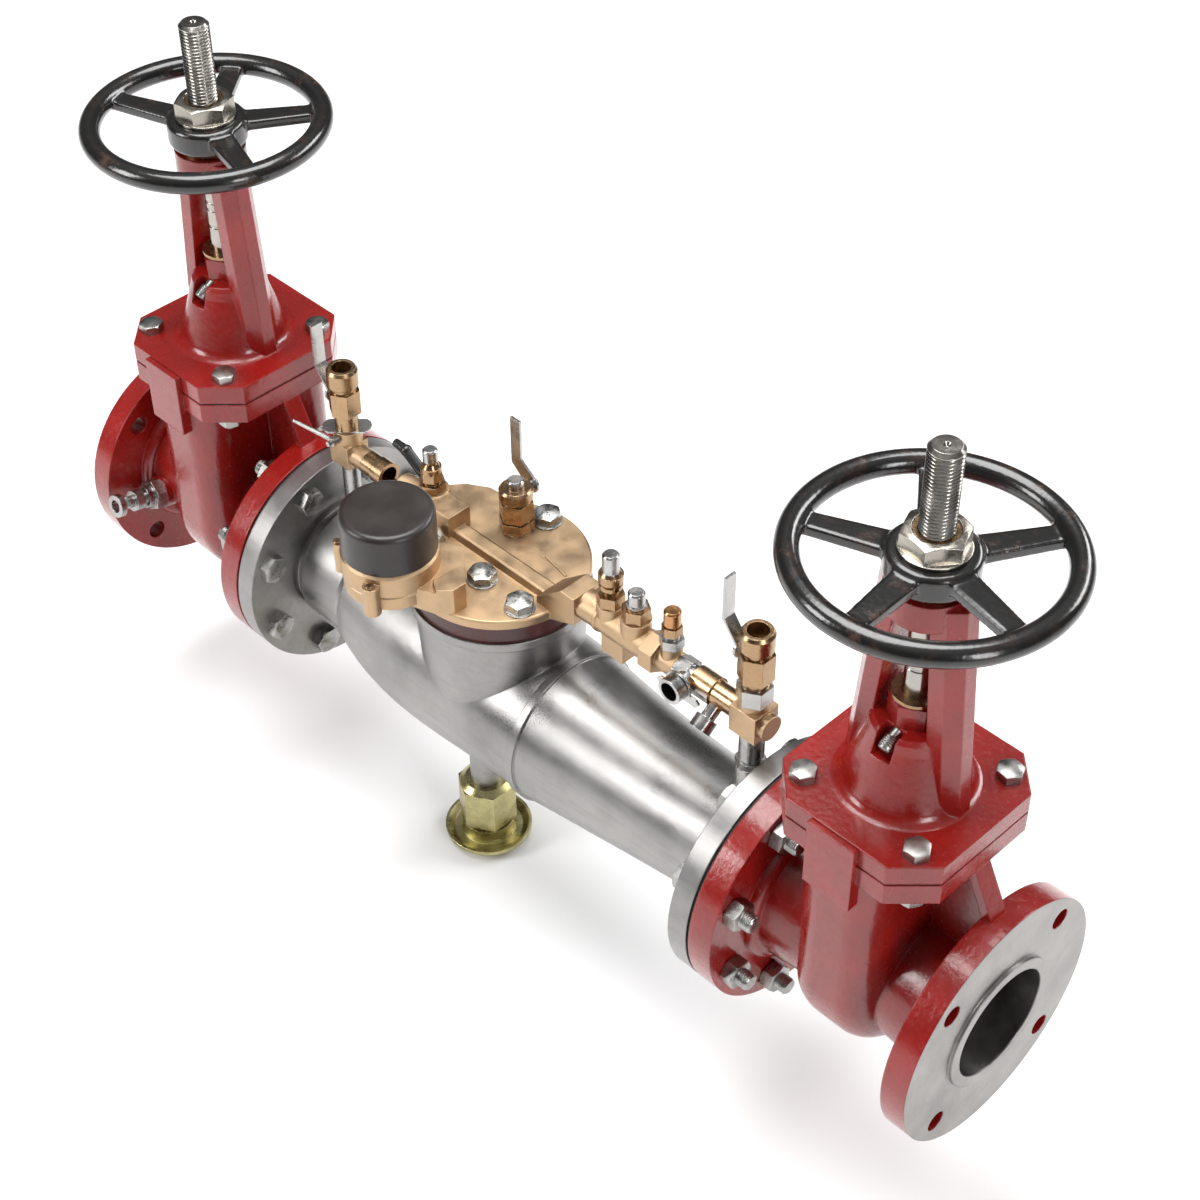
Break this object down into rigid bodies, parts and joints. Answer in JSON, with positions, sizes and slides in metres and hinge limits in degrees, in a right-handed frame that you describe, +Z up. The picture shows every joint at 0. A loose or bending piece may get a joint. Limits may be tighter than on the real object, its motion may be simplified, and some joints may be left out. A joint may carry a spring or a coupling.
{
  "type": "reduced pressure detector assembly",
  "caption": "Flanged backflow preventer between two rising-stem gate valves, with a metered bypass line and a relief port below.",
  "frame": {"origin": "centre of the inlet flange's face, on the pipe axis", "axes": "+X along the pipe towards the outlet, +Z up along the valve stems, -Y towards the meter"},
  "size_m": [1.057, 0.2484, 0.766],
  "materials": {
    "red_paint": "gloss red paint on a casting",
    "stainless": "satin, bead blasted",
    "cast_bronze": "cast bronze, dull",
    "machined_brass": "machined, bright",
    "black_enamel": "gloss black paint",
    "black_plastic": "satin black",
    "yellow_zinc": "yellow zinc plating",
    "bright_chrome": "bright",
    "oxide_red_ring": "dull brown red",
    "gasket_rubber": "dull",
    "steel_fasteners": "plain",
    "black_grip": "gloss"
  },
  "bodies": {
    "frame": {"inlet_valve_body": "red_paint", "outlet_valve_body": "red_paint", "inlet_bonnet": "red_paint", "outlet_bonnet": "red_paint", "bonnet_gaskets": "gasket_rubber", "gland_nuts": "red_paint", "gland_rings": "stainless", "gland_lock_screws": "steel_fasteners", "bonnet_bolts": "steel_fasteners", "joint_bolts": "steel_fasteners", "joint_gaskets": "gasket_rubber", "inlet_test_cock": "bright_chrome", "check_body": "stainless", "cover_ring": "oxide_red_ring", "cover": "cast_bronze", "cover_bolts": "steel_fasteners", "first_check_seat": "stainless", "first_check_spring": "stainless", "second_check_seat": "stainless", "second_check_spring": "stainless", "relief_body": "yellow_zinc", "relief_dish": "yellow_zinc", "relief_spring": "stainless", "inlet_riser": "machined_brass", "inlet_tee": "cast_bronze", "bypass_sleeve": "machined_brass", "wing_plate": "bright_chrome", "inlet_shutoff": "machined_brass", "front_test_cock": "machined_brass", "cover_shutoff": "machined_brass", "manifold": "cast_bronze", "first_manifold_cock": "machined_brass", "second_manifold_cock": "machined_brass", "third_manifold_cock": "machined_brass", "drain_valve": "bright_chrome", "outlet_riser": "machined_brass", "outlet_tee": "cast_bronze", "outlet_shutoff": "machined_brass", "meter_body": "cast_bronze", "meter_register": "black_plastic"},
    "inlet_wheel": {"inlet_handwheel": "black_enamel", "inlet_handwheel_nut": "steel_fasteners", "inlet_yoke_nut": "cast_bronze"},
    "inlet_gate": {"inlet_stem": "stainless", "inlet_wedge": "stainless"},
    "outlet_wheel": {"outlet_handwheel": "black_enamel", "outlet_handwheel_nut": "steel_fasteners", "outlet_yoke_nut": "cast_bronze"},
    "outlet_gate": {"outlet_stem": "stainless", "outlet_wedge": "stainless"},
    "first_check": {"first_check_disc": "stainless"},
    "second_check": {"second_check_disc": "stainless"},
    "relief": {"relief_poppet": "stainless"},
    "inlet_stop_lever": {"inlet_shutoff_lever": "bright_chrome"},
    "cover_stop_lever": {"cover_shutoff_lever": "bright_chrome"},
    "outlet_stop_lever": {"outlet_shutoff_lever": "bright_chrome"},
    "tee_lever": {"rod_lever": "bright_chrome"},
    "cover_inlet_lever": {"black_lever": "black_grip"},
    "drain_handle": {"wing_handle": "bright_chrome"},
    "cap": {"meter_cap": "black_plastic"}
  },
  "joints": [
    {"name": "inlet_wheel_turn", "type": "hinge", "parent": "frame", "child": "inlet_wheel", "pos_m": [0.1145, 0, 0.4203], "axis": [0, 0, 1], "range_deg": [-6120, 0]},
    {"name": "inlet_gate_slide", "type": "slide", "parent": "frame", "child": "inlet_gate", "axis": [0, 0, 1], "range_m": [-0.1079, 0]},
    {"name": "outlet_wheel_turn", "type": "hinge", "parent": "frame", "child": "outlet_wheel", "pos_m": [0.9365, 0, 0.4203], "axis": [0, 0, 1], "range_deg": [-6120, 0]},
    {"name": "outlet_gate_slide", "type": "slide", "parent": "frame", "child": "outlet_gate", "axis": [0, 0, 1], "range_m": [-0.1079, 0]},
    {"name": "first_check_slide", "type": "slide", "parent": "frame", "child": "first_check", "axis": [1, 0, 0], "range_m": [0, 0.016], "stiffness_N_per_m": 1500, "springref_m": -0.01, "deforming": ["first_check_spring"]},
    {"name": "second_check_slide", "type": "slide", "parent": "frame", "child": "second_check", "axis": [1, 0, 0], "range_m": [0, 0.016], "stiffness_N_per_m": 1500, "springref_m": -0.01, "deforming": ["second_check_spring"]},
    {"name": "relief_poppet_slide", "type": "slide", "parent": "frame", "child": "relief", "axis": [0, 0, -1], "range_m": [0, 0.005], "stiffness_N_per_m": 1500, "springref_m": -0.004, "deforming": ["relief_spring"]},
    {"name": "inlet_stop_turn", "type": "hinge", "parent": "frame", "child": "inlet_stop_lever", "pos_m": [0.2595, 0, 0.199], "axis": [1, 0, 0], "range_deg": [0, 90]},
    {"name": "cover_stop_turn", "type": "hinge", "parent": "frame", "child": "cover_stop_lever", "pos_m": [0.459, 0.0595, 0.171], "axis": [0, 1, 0], "range_deg": [0, 90]},
    {"name": "outlet_stop_turn", "type": "hinge", "parent": "frame", "child": "outlet_stop_lever", "pos_m": [0.7655, 0, 0.215], "axis": [1, 0, 0], "range_deg": [0, 90]},
    {"name": "tee_lever_turn", "type": "hinge", "parent": "frame", "child": "tee_lever", "pos_m": [0.278, -0.018, 0.1625], "axis": [0, 1, 0], "range_deg": [-90, 0]},
    {"name": "cover_inlet_turn", "type": "hinge", "parent": "frame", "child": "cover_inlet_lever", "pos_m": [0.362, 0.02, 0.142], "axis": [0, 1, 0], "range_deg": [-90, 0]},
    {"name": "drain_handle_turn", "type": "hinge", "parent": "frame", "child": "drain_handle", "pos_m": [0.714, -0.0166, 0.15], "axis": [0, 1, 0], "range_deg": [0, 90]},
    {"name": "cap_lift", "type": "slide", "parent": "frame", "child": "cap", "axis": [0, 0, 1], "range_m": [0, 0.045]}
  ],
  "couplings": [
    {"joint": "inlet_wheel_turn", "follows": "inlet_gate_slide", "rad_per_m": 989.48},
    {"joint": "outlet_wheel_turn", "follows": "outlet_gate_slide", "rad_per_m": 989.48}
  ]
}
